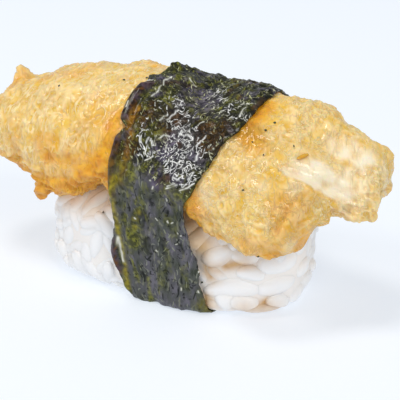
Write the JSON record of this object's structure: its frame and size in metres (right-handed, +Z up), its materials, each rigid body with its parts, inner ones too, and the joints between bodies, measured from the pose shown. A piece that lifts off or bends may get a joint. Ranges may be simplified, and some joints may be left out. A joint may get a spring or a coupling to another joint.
{
  "type": "nigiri sushi",
  "caption": "Battered fried fish fillet laid over a pressed loaf of rice, strapped round with a band of nori.",
  "frame": {"origin": "middle of the underside, on the nori that passes beneath the rice", "axes": "+X along the piece towards its right end, -Y the front, +Z up"},
  "size_m": [0.0756, 0.0313, 0.0363],
  "materials": {
    "rice": "moist, faintly glossy cooked rice, translucent white",
    "batter": "glossy golden fried batter with pale and amber patches",
    "nori": "wrinkled moist seaweed sheet, slate black with green and amber streaks"
  },
  "bodies": {
    "root": {"rice_block": "rice", "tempura_fillet": "batter", "nori_band": "nori"}
  },
  "joints": []
}
